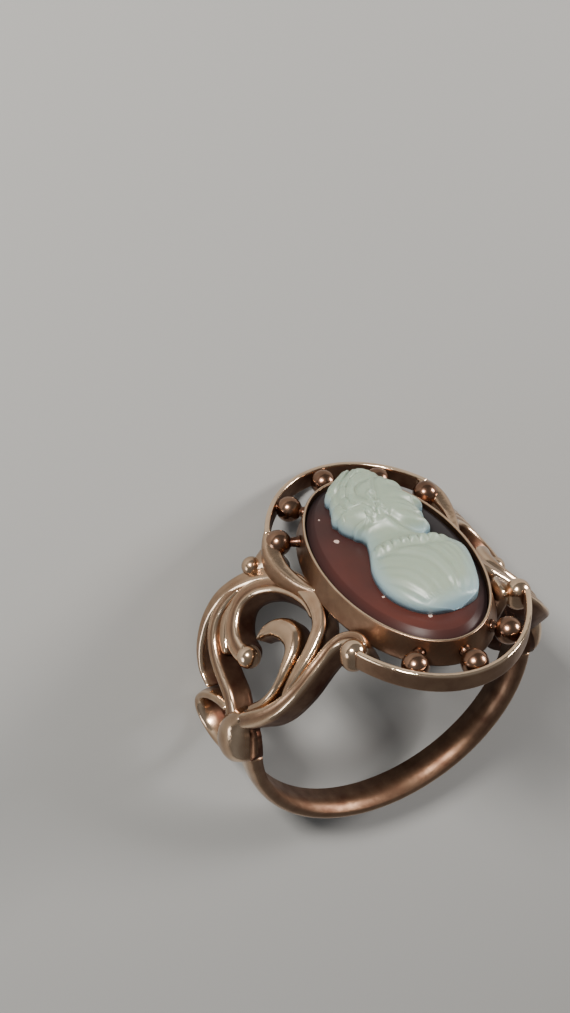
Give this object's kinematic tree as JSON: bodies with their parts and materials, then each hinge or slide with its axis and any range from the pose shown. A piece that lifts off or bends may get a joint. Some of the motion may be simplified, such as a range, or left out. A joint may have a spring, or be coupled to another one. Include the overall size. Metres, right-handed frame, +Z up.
{
  "type": "cameo ring",
  "caption": "Scrolled openwork ring with a dark oval stone, a pale relief bust and a gallery of small balls, lying on its side.",
  "frame": {"origin": "centre of the finger hole, on its axis", "axes": "The ring lies on its side. +X across the finger, -Y the side the cameo faces, +Z up; the finger hole's axis leans in the YZ plane"},
  "size_m": [0.0208, 0.0222, 0.0172],
  "materials": {
    "gold": "worn rose gold, dark in the recesses",
    "ground": "polished dark brown, nearly black at the edge",
    "bust": "carved, waxy, milky blue-green"
  },
  "bodies": {
    "root": {"ring_mount": "gold", "cameo_ground": "ground", "cameo_bust": "bust"}
  },
  "joints": []
}
